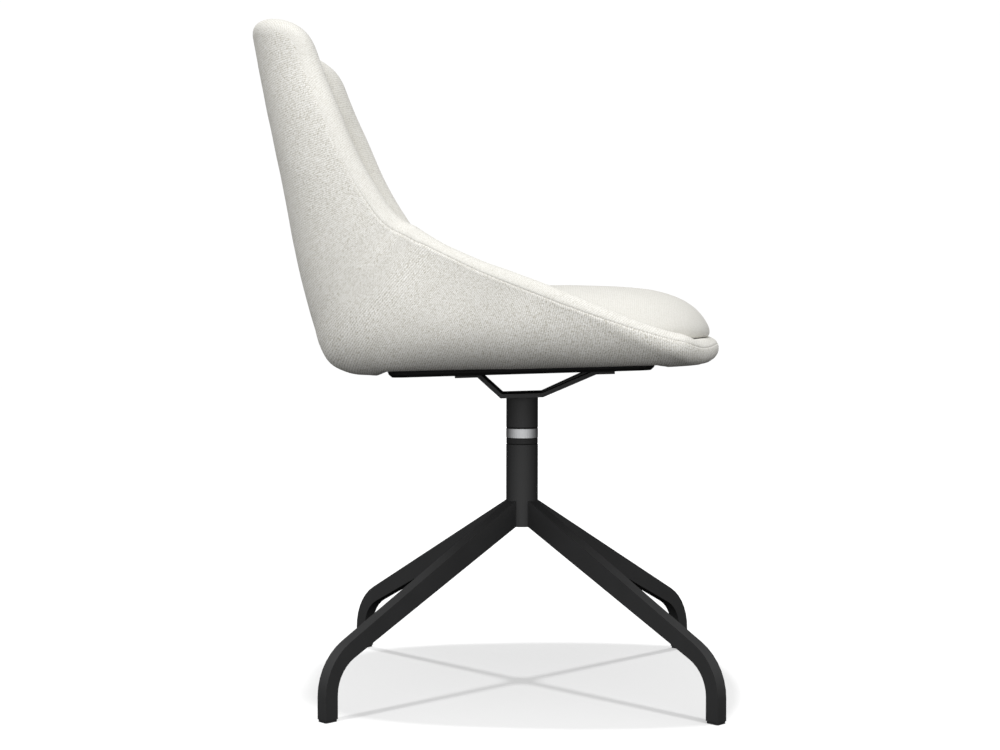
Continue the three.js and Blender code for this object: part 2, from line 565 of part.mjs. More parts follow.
// ---- seat board: thin, with rounded corners and a chamfered lower edge
function boardSolid(grow) {
  const ring = (l, w, r, q) => {
    const out = [];
    const n = 5;
    for (const [sx, sy, a0] of [[1, 1, 0], [-1, 1, 90], [-1, -1, 180], [1, -1, 270]]) {
      for (let i = 0; i <= n; i++) {
        const a = THREE.MathUtils.degToRad(a0 + (90 * i) / n);
        out.push([sx * (w - r) + r * Math.cos(a), sy * (l - r) + r * Math.sin(a), q]);
      }
    }
    return out;
  };
  const levels = grow
    ? [ring(BOARD_LEN + grow, BOARD_HALF_W + grow, 24 + grow, BOARD_Q - 2), ring(BOARD_LEN + grow, BOARD_HALF_W + grow, 24 + grow, BOARD_Q + BOARD_T + 0.3)]
    : [ring(BOARD_LEN - 5, BOARD_HALF_W - 5, 20, BOARD_Q), ring(BOARD_LEN - 1.4, BOARD_HALF_W - 1.4, 23, BOARD_Q + 3.2), ring(BOARD_LEN, BOARD_HALF_W, 24, BOARD_Q + BOARD_T)];
  const pts = levels.flat(), faces = [], n = levels[0].length;
  for (let i = 0; i + 1 < levels.length; i++) {
    for (let j = 0; j < n; j++) {
      const k = (j + 1) % n;
      faces.push([i * n + j, i * n + k, (i + 1) * n + k], [i * n + j, (i + 1) * n + k, (i + 1) * n + j]);
    }
  }
  faces.push(Array.from({ length: n }, (_, j) => n - 1 - j));
  faces.push(Array.from({ length: n }, (_, j) => (levels.length - 1) * n + j));
  return build(pts, faces);
}
add(tilted, 'seat_board', subtract(boardSolid(0), ...boltHoles()), 'board');

// ---- shell: core, outer cover, inner cover and the edge roll round the rim
tilted.updateMatrix();
const inSeat = (g) => g.clone().applyMatrix4(tilted.matrix);
const holes = boltHoles().map(inSeat), pockets = nutHoles().map(inSeat);
const core = layer(COVER_RINGS, () => -CORE_T / 2, () => CORE_T / 2);
add(seat, 'shell_core', subtract(core, ...holes, ...pockets), 'core');
const outer = layer(COVER_RINGS, (q) => -padding(q.s, q.d), () => -CORE_T / 2 - GAP);
add(seat, 'outer_cover', subtract(outer, inSeat(boardSolid(0.6)), ...holes, ...pockets), 'fabric');
const inner = layer(COVER_RINGS, () => CORE_T / 2 + GAP, (q) => padding(q.s, q.d));
add(seat, 'inner_cover', subtract(inner, ...pockets), 'fabric');
add(seat, 'edge_roll', edgeRoll(), 'fabric');

// ---- seat cushion: a dome that fills the tray of the shell
const CUSHION = { front: 221, rear: -217, half: 206, crown: 473.4, n: 3.4, edge: 420 };
function cushionSolid() {
  // rings of the plan outline, with the height of the dome over each
  const steps = 40;
  const mid = 10;                            // forward place of the widest point
  const outline = (scale) => {
    const pts = [];
    for (let i = 0; i < steps; i++) {
      const a = (2 * Math.PI * i) / steps;
      const c = Math.cos(a), s = Math.sin(a);
      const n = CUSHION.n;
      const x = CUSHION.half * Math.sign(c) * Math.abs(c) ** (2 / n);
      const reach = s > 0 ? CUSHION.front - mid : mid - CUSHION.rear;
      const u = mid + reach * Math.sign(s) * Math.abs(s) ** (2 / n);
      pts.push([x * scale, mid + (u - mid) * scale]);
    }
    return pts;
  };
  const crown = (u) => CUSHION.crown - 0.0164 * (u - mid) - (u < 60 ? ((60 - u) / 274) ** 1.6 * 22 : 0);
  const levels = [];
  const bottom = 396;
  levels.push(outline(0.9).map(([x, u]) => [x, -u, bottom]));
  levels.push(outline(0.98).map(([x, u]) => [x, -u, bottom + 12]));
  for (const [scale, lift] of [[1, 0], [0.95, 0.25], [0.885, 0.51], [0.78, 0.775], [0.62, 0.945], [0.35, 0.998]]) {
    levels.push(outline(scale).map(([x, u]) => [x, -u, CUSHION.edge + (crown(u) - CUSHION.edge) * lift]));
  }
  const pts = levels.flat(), faces = [];
  for (let i = 0; i + 1 < levels.length; i++) {
    for (let j = 0; j < steps; j++) {
      const k = (j + 1) % steps;
      faces.push([i * steps + j, i * steps + k, (i + 1) * steps + k], [i * steps + j, (i + 1) * steps + k, (i + 1) * steps + j]);
    }
  }
  const low = pts.length;
  pts.push([0, -mid, bottom], [0, -mid, crown(mid)]);
  for (let j = 0; j < steps; j++) {
    const k = (j + 1) % steps, t = (levels.length - 1) * steps;
    faces.push([low, k, j], [low + 1, t + j, t + k]);
  }
  return build(pts, faces);
}
{
  // the tray under and round the cushion, a little proud of the inner cover
  const keep = layer([{ d: 3 }, { d: 8 }, { d: EDGE_D + GAP + 0.1 }, { d: FAR }, { from: FAR, f: 0.2 }, { from: FAR, f: 0.42 }, { from: FAR, f: 0.7 }, { from: FAR, f: 1 }],
    () => -8, (q) => padding(q.s, q.d) + 0.8);
  add(seat, 'seat_cushion', subtract(cushionSolid(), keep), 'fabric');
}

// ---------------------------------------------------------------- finish
chair.updateMatrixWorld(true);
export default chair;
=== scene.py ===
# Swivel dining chair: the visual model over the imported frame.
# Upholstery lengths below are millimetres, the scene is in metres.
import json
import math
import bmesh
import bpy
import numpy as np
from mathutils import Matrix, Vector
from mathutils.bvhtree import BVHTree

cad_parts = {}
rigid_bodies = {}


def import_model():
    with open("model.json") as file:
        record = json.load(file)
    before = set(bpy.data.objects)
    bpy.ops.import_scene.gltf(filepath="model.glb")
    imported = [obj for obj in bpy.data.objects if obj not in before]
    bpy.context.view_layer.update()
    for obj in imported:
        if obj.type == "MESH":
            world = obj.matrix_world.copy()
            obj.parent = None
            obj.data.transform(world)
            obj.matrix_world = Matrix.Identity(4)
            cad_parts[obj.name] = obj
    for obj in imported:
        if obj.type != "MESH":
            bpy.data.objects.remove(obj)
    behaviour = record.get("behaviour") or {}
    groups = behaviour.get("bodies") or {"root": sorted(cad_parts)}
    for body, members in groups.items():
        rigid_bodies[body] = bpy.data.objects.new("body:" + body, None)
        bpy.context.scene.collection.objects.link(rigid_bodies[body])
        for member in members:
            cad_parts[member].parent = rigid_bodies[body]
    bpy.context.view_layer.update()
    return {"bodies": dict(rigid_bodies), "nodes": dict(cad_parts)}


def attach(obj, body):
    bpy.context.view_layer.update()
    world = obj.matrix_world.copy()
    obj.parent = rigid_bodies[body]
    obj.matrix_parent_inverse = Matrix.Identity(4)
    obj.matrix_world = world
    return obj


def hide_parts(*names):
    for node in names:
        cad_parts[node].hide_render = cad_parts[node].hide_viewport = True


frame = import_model()
NODES = frame["nodes"]
MM = 0.001
AXIS_Y = -40.5
LEAN = math.radians(1.8)
TILT_Z = 342.1
BOARD_TOP = 38.1                 # top of the board above TILT_Z
BOARD_LEN, BOARD_HALF_W = 150.0, 150.0

# ------------------------------------------------------------------ camera
def make_camera():
    yaw, pitch, roll = -0.01344, 0.02915, -0.00145
    sy, cy, sp, cp = math.sin(yaw), math.cos(yaw), math.sin(pitch), math.cos(pitch)
    forward = Vector((sy * cp, cy * cp, -sp))
    right = Vector((cy, -sy, 0.0))
    up = Vector((sy * sp, cy * sp, cp))
    cr, sr = math.cos(roll), math.sin(roll)
    right2 = cr * right - sr * up
    up2 = sr * right + cr * up

    def row(v):                  # (forward of the chair, away, up) to the row frame
        return Vector((v[1], -v[0], v[2]))

    r, u, b = row(right2), row(up2), -row(forward)
    data = bpy.data.cameras.new("camera")
    data.sensor_fit = "HORIZONTAL"
    data.sensor_width = 36.0
    data.lens = 59.14
    data.clip_end = 50.0
    data.shift_x, data.shift_y = -0.0002, 0.0005
    cam = bpy.data.objects.new("camera", data)
    bpy.context.scene.collection.objects.link(cam)
    place = Matrix(((r[0], u[0], b[0], -1.9633), (r[1], u[1], b[1], -0.00009 + AXIS_Y * MM),
                    (r[2], u[2], b[2], 0.4242), (0, 0, 0, 1)))
    cam.matrix_world = place
    bpy.context.scene.camera = cam


make_camera()

# ------------------------------------------------------------------ shell
STATIONS = np.array([
    [-296.0, 775.4, 11.5, 143.1, 62.4, 82, 0.24, 1.00, 19.0],
    [-294.4, 768.0, 11.5, 145.0, 64.2, 82, 0.24, 1.00, 19.0],
    [-281.4, 704.1, 11.5, 154.0, 61.0, 84, 0.25, 1.00, 19.0],
    [-267.8, 647.4, 13.0, 172.3, 69.6, 84, 0.27, 1.00, 19.0],
    [-255.7, 590.7, 17.0, 184.2, 80.3, 85, 0.28, 1.00, 19.0],
    [-244.7, 533.8, 25.0, 191.8, 97.3, 86, 0.30, 1.00, 18.5],
    [-232.3, 476.1, 36.0, 198.6, 119.4, 86, 0.33, 0.98, 17.5],
    [-226.1, 448.5, 41.0, 202.0, 135.1, 86, 0.33, 0.96, 16.5],
    [-220.2, 426.5, 44.4, 206.5, 150.2, 85.5, 0.33, 0.95, 15.6],
    [-214.8, 406.9, 47.5, 209.1, 162.2, 85, 0.34, 0.94, 15.0],
    [-206.4, 393.2, 49.6, 211.9, 168.4, 84.5, 0.37, 0.94, 14.5],
    [-191.0, 386.4, 49.8, 215.9, 166.3, 84, 0.41, 0.93, 14.2],
    [-165.0, 385.2, 50.4, 220.0, 155.5, 84, 0.46, 0.90, 14.0],
    [-110.0, 387.0, 54.4, 225.0, 129.0, 85, 0.51, 0.86, 14.0],
    [-50.0, 390.2, 63.9, 227.5, 101.6, 86, 0.52, 0.86, 14.0],
    [20.0, 393.0, 74.6, 229.0, 74.0, 85, 0.60, 0.92, 14.0],
    [80.0, 394.6, 76.5, 228.0, 50.0, 72, 0.70, 0.97, 14.2],
    [125.0, 395.8, 77.8, 225.5, 31.2, 52, 0.76, 1.00, 14.2],
    [165.0, 396.2, 76.8, 219.0, 16.4, 30.4, 0.76, 1.00, 14.3],
    [200.0, 398.7, 75.0, 209.0, 5.6, 12, 0.70, 1.00, 14.0],
    [230.0, 403.6, 75.0, 196.0, 1.3, 5, 0.60, 1.00, 13.4],
])
STEP = np.hypot(np.diff(STATIONS[:, 0]), np.diff(STATIONS[:, 1]))
STATION_S = np.concatenate([[0.0], np.cumsum(STEP)])
S_END = float(STATION_S[-1])
TOP_CORNER, FRONT_CORNER = 100.0, 65.0
TOP_SQUARE = 3.2                 # exponent of the top corners, 2 is an ellipse
SECTION_STEPS = 60


def station_slopes():
    d = np.diff(STATIONS, axis=0) / STEP[:, None]
    m = np.empty_like(STATIONS)
    m[0], m[-1] = d[0], d[-1]
    h0, h1 = STEP[:-1, None], STEP[1:, None]
    m[1:-1] = (d[:-1] * h1 + d[1:] * h0) / (h0 + h1)
    return m


SLOPES = station_slopes()


def station(s):
    s = np.clip(np.asarray(s, float), 0.0, S_END)
    i = np.clip(np.searchsorted(STATION_S, s, side="right") - 1, 0, len(STATION_S) - 2)
    h = STEP[i][:, None]
    t = ((s - STATION_S[i]) / STEP[i])[:, None]
    t2, t3 = t * t, t * t * t
    return ((2 * t3 - 3 * t2 + 1) * STATIONS[i] + (t3 - 2 * t2 + t) * SLOPES[i] * h
            + (-2 * t3 + 3 * t2) * STATIONS[i + 1] + (t3 - t2) * SLOPES[i + 1] * h)


def section(s):
    q = station(s)
    tau = (np.arange(SECTION_STEPS) + 0.5) / SECTION_STEPS
    c = np.clip((tau[None] - q[:, 6:7]) / (q[:, 7:8] - q[:, 6:7]), 0, 1)
    psi = np.radians(q[:, 5:6]) * c * c * (3 - 2 * c)
    zero = np.zeros((len(q), 1))
    xs = np.concatenate([zero, np.cumsum(np.cos(psi), 1)], 1)
    gs = np.concatenate([zero, np.cumsum(np.sin(psi), 1)], 1)
    xs *= q[:, 3:4] / xs[:, -1:]
    gs *= q[:, 4:5] / gs[:, -1:]
    ls = np.concatenate([zero, np.cumsum(np.hypot(np.diff(xs, axis=1), np.diff(gs, axis=1)), 1)], 1)
    return q, xs, gs, ls


def middle(s, w):
    """Points (x, forward, height) of the middle surface of the shell."""
    s, w = np.asarray(s, float), np.asarray(w, float)
    q, xs, gs, ls = section(s)
    aw = np.abs(w)
    k = np.clip((ls[:, 1:] < aw[:, None]).sum(1), 0, SECTION_STEPS - 1)
    r = np.arange(len(s))
    f = (aw - ls[r, k]) / (ls[r, k + 1] - ls[r, k])
    x = xs[r, k] + (xs[r, k + 1] - xs[r, k]) * f
    g = gs[r, k] + (gs[r, k + 1] - gs[r, k]) * f
    d = np.radians(q[:, 2])
    return np.stack([np.sign(w) * x, q[:, 0] + g * np.cos(d), q[:, 1] + g * np.sin(d)], 1)


def normals(s, w):
    e = 1.5
    a, b = middle(np.maximum(0, s - e), w), middle(np.minimum(S_END, s + e), w)
    c, d = middle(s, w - e), middle(s, w + e)
    n = np.cross(d - c, b - a)
    return n / np.linalg.norm(n, axis=1, keepdims=True)


def section_length(s):
    return section(np.atleast_1d(s))[3][:, -1]


def even(p, count):
    """count points spread evenly along a polyline, the last one left out."""
    run = np.concatenate([[0], np.cumsum(np.hypot(*np.diff(p, axis=0).T))])
    at = np.arange(count) / count * run[-1]
    return np.stack([np.interp(at, run, p[:, k]) for k in (0, 1)], 1)


def half_loop():
    """The rim of the shell from the top middle to the nose middle, in the
    flat plane of lengths (along, across), with its inward direction."""
    top_n, front_n = 46, 44
    v = np.linspace(0, 1, 600) ** 1.3 * math.pi / 2
    s_top = TOP_CORNER * (1 - np.cos(v) ** (2 / TOP_SQUARE))
    s_top[-1] = TOP_CORNER
    top = even(np.stack([s_top, section_length(s_top) * np.sin(v) ** (2 / TOP_SQUARE)], 1), top_n)
    rows = []
    s = TOP_CORNER
    while s < S_END - FRONT_CORNER - 1.0:
        rows.append(s)
        near = math.exp(-((s - 365.0) / 60.0) ** 2)
        s += 5.0 - 2.0 * near
    rows.append(S_END - FRONT_CORNER)
    s_side = np.array(rows)
    side = np.stack([s_side, section_length(s_side)], 1)
    v = np.linspace(0, 1, 600) * math.pi / 2
    s_front = S_END - FRONT_CORNER * (1 - np.sin(v))
    front = even(np.stack([s_front, section_length(s_front) * np.cos(v)], 1)[::-1], front_n)[::-1]
    front[-1, 1] = 0.0
    p = np.concatenate([top, side, front])
    spine = np.concatenate([np.full(top_n, TOP_CORNER), s_side, np.full(front_n, S_END - FRONT_CORNER)])
    t = np.empty_like(p)
    t[1:-1] = p[2:] - p[:-2]
    t[0], t[-1] = (0, 1), (0, -1)
    t /= np.linalg.norm(t, axis=1, keepdims=True)
    return p, spine, np.stack([t[:, 1], -t[:, 0]], 1)


def full_loop():
    p, spine, n = half_loop()
    sign = np.ones(len(p))
    p2, n2 = p[-2:0:-1], n[-2:0:-1]
    return (np.concatenate([p, p2]), np.concatenate([spine, spine[-2:0:-1]]),
            np.concatenate([n, n2]), np.concatenate([sign, -np.ones(len(p2))]), len(p))


def smoothstep(x):
    x = np.clip(x, 0, 1)
    return x * x * (3 - 2 * x)


def wave(seed, p, size):
    """Smooth unseeded-free wobble from a few fixed sine directions, about -1 to 1."""
    rng = np.random.default_rng(seed)
    out = np.zeros(len(p))
    for _ in range(7):
        d = rng.normal(size=3)
        d /= np.linalg.norm(d)
        out += np.sin(p @ d * (2 * math.pi / (size * rng.uniform(0.7, 1.5))) + rng.uniform(0, 6.28))
    return out / 3.2


def row_frame(p):
    return np.stack([p[:, 0], -p[:, 1] + AXIS_Y, p[:, 2]], 1) * MM


DART_U = -158.0                  # the dart seams at the lower rear corners


def board_relief(p):
    """Outer skin pressed up by the board; p is (x, forward, height)."""
    x, u, z = p[:, 0], p[:, 1], p[:, 2]
    along = u * math.cos(LEAN) + (z - TILT_Z) * math.sin(LEAN)
    rise = -u * math.sin(LEAN) + (z - TILT_Z) * math.cos(LEAN)
    dx = np.abs(x) - (BOARD_HALF_W - 24)
    dy = np.abs(along) - (BOARD_LEN - 24)
    out = np.hypot(np.maximum(dx, 0), np.maximum(dy, 0)) + np.minimum(np.maximum(dx, dy), 0) - 24
    # over the board itself, then a pressed margin that is sharp at the ends
    over = (1 - smoothstep((out - 0.8) / 8.0)) * np.maximum(0.0, BOARD_TOP + 0.35 - rise)
    beside = np.maximum(0.0, np.abs(x) - BOARD_HALF_W)
    level = BOARD_TOP - np.interp(along, (-110.0, -45.0, 0.0, 150.0), (0.2, 0.8, 1.7, 2.1)) + 0.03 * beside
    ends = 1 - smoothstep((np.abs(along) - BOARD_LEN - 0.5) / 8.0)
    margin = ends * (1 - smoothstep((beside - 42.0) / 28.0)) * np.maximum(0.0, level - rise)
    return np.where(np.abs(rise - BOARD_TOP) < 12, np.maximum(over, margin), 0.0)


FAR_OUT = 1.5                    # how far the rolled part runs past the half round
NEAR_SEAM = (0.0, 0.3, 0.65, 1.05, 1.6, 2.4, 3.6)
INNER_ROWS, OUTER_ROWS, PANEL_ROWS = 18, 9, 36


def seam_angle(s):
    """Where the seam lies round the rim, in radians from its tip: well down
    the outside on the wings, up over the tip at the nose."""
    q = station(s)
    rim = q[:, 5]
    return np.radians(rim - 7.0 - 20.0 * (1 - rim / 87.0) + 4.5 * np.exp(-((q[:, 0] - 10.0) / 90.0) ** 2))


def upholstery():
    """Rows of points over the shell, from the inner middle line over the rim
    to the outer middle line: position, normal, offset and cloth lengths."""
    p, spine, n, sign, half = full_loop()
    count = len(p)
    rim_s = np.clip(p[:, 0], 0, S_END)
    radius = station(rim_s)[:, 8]
    reach = radius * math.pi / 2 + FAR_OUT
    seam = radius * seam_angle(rim_s)
    arcs = []
    inner_start = seam - NEAR_SEAM[-1]
    for i in range(INNER_ROWS):
        arcs.append(-reach + (inner_start + reach) * i / INNER_ROWS)
    for k in NEAR_SEAM[:0:-1]:
        arcs.append(seam - k)
    seam_row = PANEL_ROWS + len(arcs)
    arcs.append(seam)
    for k in NEAR_SEAM[1:-2]:
        arcs.append(seam + np.minimum(k, (reach - seam) * k / 4.5))
    last = arcs[-1]
    for i in range(OUTER_ROWS):
        arcs.append(last + (reach - last) * (i + 1) / OUTER_ROWS)
    rows = []
    panel = np.arange(PANEL_ROWS, 0, -1) / PANEL_ROWS
    for f in panel:
        rows.append((1, "f", f))
    for a in arcs:
        rows.append((0, "a", a))
    for f in panel[::-1]:
        rows.append((-1, "f", f))
    far = radius + FAR_OUT
    power = 2 / (2 + 0.6 * (1 - smoothstep((p[:, 0] - 10.0) / 70.0)))     # the top edge is a little squarer
    points, coords = [], []
    for side, kind, value in rows:
        if kind == "a":
            curve = np.abs(value) <= radius * math.pi / 2
            turn = np.minimum(np.abs(value) / radius, math.pi / 2)
            dist = np.where(curve, radius * (1 - np.maximum(np.cos(turn), 0.0) ** power), radius + np.abs(value) - radius * math.pi / 2)
            q = p + n * dist[:, None]
            side = np.where(value < 0, 1.0, -1.0)
            pad = np.where(curve, radius * np.sin(turn) ** power, radius)
        else:
            a = p + n * far[:, None]
            q = np.stack([a[:, 0] + (spine - a[:, 0]) * value, a[:, 1] * (1 - value)], 1)
            side = np.full(count, float(side))
            own = station(np.clip(q[:, 0], 0, S_END))[:, 8]
            pad = own + (radius - own) * max(0.0, 1 - value * 6)
        s, w = q[:, 0], q[:, 1] * sign
        points.append([middle(s, w), normals(s, w), side * pad])
        coords.append(np.stack([s, w], 1))
    return rows, points, coords, seam_row, seam, (p, spine, n, sign, half, radius, far)


def build_upholstery():
    rows, points, coords, seam_row, seam_arc, (p, spine, n, sign, half, radius, far) = upholstery()
    count = len(p)
    nr = len(rows)
    show = smoothstep((np.clip(p[:, 0], 0, S_END) - 180) / 100)     # the seam sinks in below the upper back
    pos = np.empty((nr, count, 3))
    for i, (m, nn, off) in enumerate(points):
        side, kind, value = rows[i]
        way = np.sign(off) if kind == "a" else np.full(count, float(side))
        extra = np.zeros(count)
        depth = np.ones(count)
        if kind == "a":
            # the seam pulls the cover in, and the cover swells on both sides of it
            a = value - seam_arc
            extra = (0.12 + 0.88 * show) * (-0.30 * np.exp(-(a / 0.6) ** 2) + 0.2 * np.exp(-((np.abs(a) - 2.6) / 1.7) ** 2))
            depth = np.minimum(1.0, np.abs(off) / radius)
        q = m + nn * off[:, None]
        pos[i] = q
        points[i].append((way, extra, depth))
    # surface normals of the plain form, to push along
    dj = np.roll(pos, -1, 1) - np.roll(pos, 1, 1)
    di = np.empty_like(pos)
    di[1:-1] = pos[2:] - pos[:-2]
    di[0], di[-1] = pos[1] - pos[0], pos[-1] - pos[-2]
    face = np.cross(di, dj)
    length = np.linalg.norm(face, axis=2, keepdims=True)
    face = np.where(length > 1e-9, face / np.maximum(length, 1e-9), 0.0)
    probe = seam_row + 2
    if (face[probe] * points[probe][1] * points[probe][3][0][:, None]).sum() < 0:
        face = -face
    for i in range(nr):
        way, extra, depth = points[i][3]
        nn = points[i][1]
        push = face[i] if rows[i][1] == "a" else nn * way[:, None]
        wob = 0.35 * wave(11, pos[i], 95.0) + 0.16 * wave(31, pos[i], 38.0)
        slim = np.where(way < 0, -1.1 * depth * (1 - smoothstep((pos[i][:, 1] + 215.0) / 60.0)), 0.0)
        pos[i] = pos[i] + push * (extra + wob * depth + slim)[:, None]
        pos[i][:, 2] += 0.6 * smoothstep((pos[i][:, 2] - 745.0) / 25.0)
    # the dart seam at each lower rear corner, outside
    for i in range(nr):
        if rows[i][0] < 0:
            q = pos[i]
            reach = smoothstep((np.abs(q[:, 0]) - 100) / 12) * smoothstep((432 - q[:, 2]) / 14)
            a = q[:, 1] - DART_U
            nn = points[i][1]
            pos[i] = q + nn * (reach * (0.8 * np.exp(-(a / 1.6) ** 2) - 0.25 * np.exp(-((np.abs(a) - 6) / 4) ** 2)))[:, None]
            pos[i][:, 2] += board_relief(pos[i])
    # arc length across the rim, measured from the seam towards the inside
    step = np.linalg.norm(np.diff(pos, axis=0), axis=2)
    arc = np.concatenate([np.zeros((1, count)), np.cumsum(step, 0)])
    from_seam = arc[seam_row] - arc          # positive on the inside of the seam
    line = pos[seam_row]
    along = np.concatenate([[0], np.cumsum(np.linalg.norm(np.diff(line, axis=0), axis=1))])
    total = along[-1] + np.linalg.norm(line[0] - line[-1])
    # cloth coordinates: each panel uses (along, across) as it is, and runs on
    # over the rim by the true length as far as the seam
    first_a = PANEL_ROWS
    last_a = nr - PANEL_ROWS - 1
    uv_in = np.empty((nr, count, 2))
    uv_out = np.empty((nr, count, 2))
    for i in range(nr):
        flat_in = p + n * (far - np.maximum(0, arc[i] - arc[first_a]))[:, None]
        flat_out = p + n * (far - np.maximum(0, arc[last_a] - arc[i]))[:, None]
        uv_in[i] = coords[i] if i <= first_a else np.stack([flat_in[:, 0], flat_in[:, 1] * sign], 1)
        uv_out[i] = coords[i] if i >= last_a else np.stack([flat_out[:, 0], flat_out[:, 1] * sign], 1)
    # mesh, with the two spines welded
    index = np.full((nr, count), -1, int)
    verts = []
    for i in range(nr):
        spine_row = rows[i][1] == "f" and rows[i][2] == 1.0
        for j in range(count):
            if spine_row:
                if j >= half:
                    index[i, j] = index[i, count - j]
                    continue
                if j > 0 and spine[j] == spine[j - 1]:
                    index[i, j] = index[i, j - 1]
                    continue
            index[i, j] = len(verts)
            verts.append(pos[i, j])
    faces, uv, seam, inside = [], [], [], []
    strength = show
    for i in range(nr - 1):
        outer = i >= seam_row
        table = uv_out if outer else uv_in
        for j in range(count):
            k = (j + 1) % count
            quad = [(i, j), (i + 1, j), (i + 1, k), (i, k)]
            ids = [index[c] for c in quad]
            keep = [m for m in range(4) if ids[m] != ids[m - 1]]
            if len(keep) < 3 or len(set(ids[m] for m in keep)) < 3:
                continue
            faces.append([ids[m] for m in keep])
            inside.append(0 if outer else 1)
            for m in keep:
                r, c = quad[m]
                uv.append(table[r, c] * MM)
                far_along = total if (k == 0 and c == 0) else along[c]
                seam.append((far_along * MM, abs(from_seam[r, c]) * MM + 0.0011 * (1 - strength[c])))
    mesh = bpy.data.meshes.new("bucket_upholstery")
    mesh.from_pydata([tuple(v) for v in row_frame(np.array(verts))], [], faces)
    for name, data in (("cloth", uv), ("seam", seam)):
        layer = mesh.uv_layers.new(name=name)
        layer.data.foreach_set("uv", np.array(data, np.float32).ravel())
    mesh.update()
    obj = bpy.data.objects.new("bucket_upholstery", mesh)
    bpy.context.scene.collection.objects.link(obj)
    fix_outward(mesh)
    for poly in mesh.polygons:
        poly.use_smooth = True
    obj["inside"] = inside
    return obj


def fix_outward(mesh):
    mesh.calc_loop_triangles()
    co = np.empty(len(mesh.vertices) * 3)
    mesh.vertices.foreach_get("co", co)
    co = co.reshape(-1, 3)
    tri = np.empty(len(mesh.loop_triangles) * 3, int)
    mesh.loop_triangles.foreach_get("vertices", tri)
    a, b, c = (co[tri.reshape(-1, 3)[:, k]] for k in range(3))
    if np.einsum("ij,ij->i", a, np.cross(b, c)).sum() < 0:
        mesh.flip_normals()


bucket = build_upholstery()

# ------------------------------------------------------------------ seat pad
PAD = {"front": 219.5, "rear": -217.0, "half": 208.0, "crown": 473.4, "n": 3.4, "mid": 10.0, "edge": 416.0}


def pad_crown(u):
    back = np.clip((60 - u) / 274, 0, None) ** 1.6 * 22
    return PAD["crown"] - 0.0164 * (u - PAD["mid"]) - back


def build_pad(shrink=0.0):
    steps = 200
    scales = (0.997, 0.99, 0.98, 0.965, 0.945, 0.92, 0.89, 0.855, 0.81, 0.755, 0.69, 0.62, 0.54, 0.46, 0.38, 0.30, 0.22, 0.15, 0.08)
    a = 2 * math.pi * np.arange(steps) / steps
    c, s = np.cos(a), np.sin(a)
    n = PAD["n"]
    mid = PAD["mid"]
    ox = (PAD["half"] - shrink) * np.sign(c) * np.abs(c) ** (2 / n)
    reach = np.where(s > 0, PAD["front"] - shrink - mid, mid - PAD["rear"] - shrink)
    ou = reach * np.sign(s) * np.abs(s) ** (2 / n)
    low = PAD["edge"]
    rings = [np.stack([ox * k, mid + ou * k, np.full(steps, z)], 1)
             for k, z in ((0.80, 398.0), (0.93, 400.0), (0.975, 404.5), (0.993, 409.5), (0.999, 413.0), (1.0, low))]
    for scale in scales:
        u = mid + ou * scale
        lift = (1 - scale ** 6.5) ** 0.66
        rings.append(np.stack([ox * scale, u, low + (pad_crown(u) - shrink - low) * lift], 1))
    verts = list(np.concatenate(rings))
    faces = []
    for i in range(len(rings) - 1):
        for j in range(steps):
            k = (j + 1) % steps
            faces.append([i * steps + j, i * steps + k, (i + 1) * steps + k, (i + 1) * steps + j])
    b, t = len(verts), len(verts) + 1
    verts.append(np.array([0, mid, 398.0]))
    verts.append(np.array([0, mid, float(pad_crown(np.array([mid]))[0]) - shrink]))
    last = (len(rings) - 1) * steps
    for j in range(steps):
        k = (j + 1) % steps
        faces.append([b, k, j])
        faces.append([t, last + j, last + k])
    mesh = bpy.data.meshes.new("seat_pad")
    mesh.from_pydata([tuple(v) for v in row_frame(np.array(verts))], [], faces)
    mesh.update()
    fix_outward(mesh)
    obj = bpy.data.objects.new("seat_pad", mesh)
    bpy.context.scene.collection.objects.link(obj)
    return obj


def tray_tree():
    """The inside of the bucket, as far as the seam."""
    mesh = bucket.data
    inside = bucket["inside"]
    return BVHTree.FromPolygons([v.co[:] for v in mesh.vertices],
                                [tuple(p.vertices) for p, i in zip(mesh.polygons, inside) if i])


def keep_clear(obj, tree, gap=0.0009):
    """Moves the points that come too near the bucket out of it."""
    for v in obj.data.vertices:
        hit, normal, _, dist = tree.find_nearest(v.co)
        side = (v.co - hit).dot(normal)
        if side < gap:
            v.co = hit + normal * gap
    obj.data.update()


PAD_START, PAD_CAP = 3.4, 4.6     # how much smaller the pad starts, and how far a point may swell


